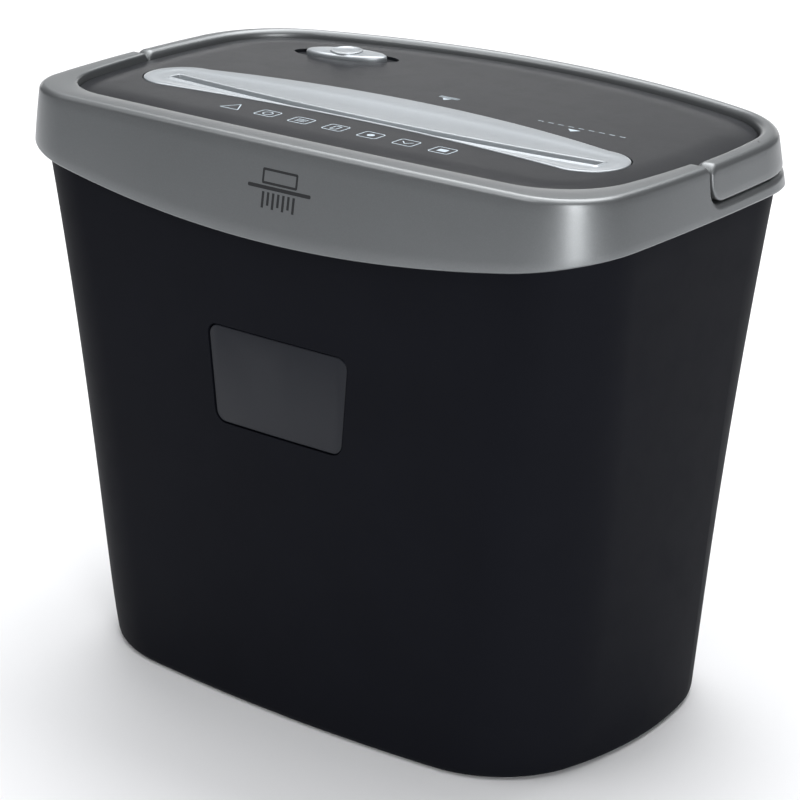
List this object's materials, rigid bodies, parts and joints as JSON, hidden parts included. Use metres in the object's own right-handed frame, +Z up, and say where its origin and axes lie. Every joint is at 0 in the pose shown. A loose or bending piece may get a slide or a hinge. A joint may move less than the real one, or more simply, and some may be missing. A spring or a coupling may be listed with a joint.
{
  "type": "paper shredder",
  "caption": "Desk-side paper shredder: flared oval bin with a view window, lift-off cutting head, silver band with folding carry handle, slide switch and geared strip-cutting rollers.",
  "frame": {"origin": "on the floor, under the centre of the head's outline", "axes": "+Z up, +X along the paper throat to the right as seen from the front, front wall with the window towards -Y"},
  "size_m": [0.3074, 0.2116, 0.2593],
  "materials": {
    "bin_plastic": "fine matt moulded polypropylene, near black",
    "window_plastic": "dark smoked window",
    "band_paint": "satin silver-grey painted plastic",
    "panel_plastic": "dark grey semi-gloss plastic",
    "bezel_silver": "light silver satin plastic",
    "housing_plastic": "black flame-retardant plastic",
    "comb_plastic": "natural acetal",
    "plate_steel": "zinc-plated sheet steel",
    "hard_steel": "ground and hardened steel",
    "gear_metal": "sintered steel",
    "gear_nylon": "natural nylon",
    "bronze": "oil-filled sintered bronze",
    "laminations": "varnished electrical steel",
    "copper": "enamelled and bare copper",
    "brass_parts": "brass pressings",
    "carbon": "pressed carbon",
    "screw_zinc": "zinc-plated steel",
    "board_laminate": "solder-masked board",
    "case_plastic": "moulded switch and relay cases",
    "capacitor_box": "epoxy-filled box",
    "terminal_plastic": "green terminal plastic",
    "fuse_glass": "clear glass",
    "gland_rubber": "black rubber",
    "plunger_plastic": "white acetal"
  },
  "bodies": {
    "bin_body": {"bin": "bin_plastic", "bin_window": "window_plastic"},
    "head": {"trim_band": "band_paint", "top_panel": "panel_plastic", "throat_bezel": "bezel_silver", "lower_housing": "housing_plastic", "front_paper_guide": "housing_plastic", "rear_paper_guide": "housing_plastic", "left_side_plate": "plate_steel", "right_side_plate": "plate_steel", "gear_cover_plate": "plate_steel", "tie_rods": "hard_steel", "tie_rod_nuts": "screw_zinc", "shaft_bushes": "bronze", "front_stripper_comb": "comb_plastic", "rear_stripper_comb": "comb_plastic", "idler_axles": "hard_steel", "motor_stator": "laminations", "field_coils": "copper", "motor_front_bracket": "housing_plastic", "motor_rear_bracket": "housing_plastic", "brush_holders": "brass_parts", "carbon_brushes": "carbon", "motor_screws": "screw_zinc", "thermal_cutout": "case_plastic", "circuit_board": "board_laminate", "relay": "case_plastic", "filter_capacitor": "capacitor_box", "terminal_block": "terminal_plastic", "fuse_holder": "brass_parts", "glass_fuse": "fuse_glass", "board_screws": "screw_zinc", "slide_switch": "housing_plastic", "start_switch": "case_plastic", "lever_pivot_pin": "screw_zinc", "interlock_switch": "case_plastic", "cord_gland": "gland_rubber", "top_cover_screws": "screw_zinc", "plate_screws": "screw_zinc", "handle_pins": "screw_zinc"},
    "handle": {"carry_handle": "band_paint"},
    "switch_knob": {"slide_knob": "bezel_silver"},
    "front_roller": {"front_cutter_shaft": "hard_steel", "front_cutter_discs": "hard_steel", "front_spacers": "hard_steel", "front_sync_gear": "gear_metal"},
    "rear_roller": {"rear_cutter_shaft": "hard_steel", "rear_cutter_discs": "hard_steel", "rear_spacers": "hard_steel", "rear_sync_gear": "gear_metal", "output_gear": "gear_metal"},
    "second_idler": {"second_idler_gear": "gear_nylon"},
    "first_idler": {"first_idler_gear": "gear_nylon"},
    "armature": {"armature_shaft": "hard_steel", "armature_core": "laminations", "commutator": "copper", "motor_pinion": "hard_steel", "cooling_fan": "comb_plastic"},
    "paper_lever": {"start_lever": "comb_plastic"},
    "plunger": {"interlock_plunger": "plunger_plastic"}
  },
  "joints": [
    {"name": "head_lift", "type": "slide", "parent": "bin_body", "child": "head", "axis": [0, 0, 1], "range_m": [0, 0.12]},
    {"name": "handle_swing", "type": "hinge", "parent": "head", "child": "handle", "pos_m": [0, -0.0062, 0.2504], "axis": [1, 0, 0], "range_deg": [0, 90]},
    {"name": "switch_slide", "type": "slide", "parent": "head", "child": "switch_knob", "axis": [0.9613, 0.2756, 0], "range_m": [-0.005, 0.005]},
    {"name": "armature_spin", "type": "hinge", "parent": "head", "child": "armature", "pos_m": [0, 0.03552, 0.20989], "axis": [1, 0, 0], "continuous": true},
    {"name": "first_idler_spin", "type": "hinge", "parent": "head", "child": "first_idler", "pos_m": [0, 0.01701, 0.18783], "axis": [1, 0, 0], "continuous": true},
    {"name": "second_idler_spin", "type": "hinge", "parent": "head", "child": "second_idler", "pos_m": [0, 0.00517, 0.21321], "axis": [1, 0, 0], "continuous": true},
    {"name": "rear_roller_spin", "type": "hinge", "parent": "head", "child": "rear_roller", "pos_m": [0, -0.0194, 0.196], "axis": [1, 0, 0], "continuous": true},
    {"name": "front_roller_spin", "type": "hinge", "parent": "head", "child": "front_roller", "pos_m": [0, -0.0454, 0.196], "axis": [1, 0, 0], "continuous": true},
    {"name": "start_lever_turn", "type": "hinge", "parent": "head", "child": "paper_lever", "pos_m": [0, -0.0164, 0.232], "axis": [1, 0, 0], "range_deg": [0, 50], "stiffness_Nm_per_rad": 0.004, "springref_deg": -11.46},
    {"name": "interlock_press", "type": "slide", "parent": "head", "child": "plunger", "axis": [0, 0, -1], "range_m": [0, 0.003]}
  ],
  "couplings": [
    {"joint": "rear_roller_spin", "follows": "front_roller_spin", "ratio": -1},
    {"joint": "second_idler_spin", "follows": "front_roller_spin", "ratio": 3},
    {"joint": "first_idler_spin", "follows": "front_roller_spin", "ratio": -11},
    {"joint": "armature_spin", "follows": "front_roller_spin", "ratio": 55},
    {"joint": "interlock_press", "follows": "head_lift", "ratio": 0.025}
  ]
}
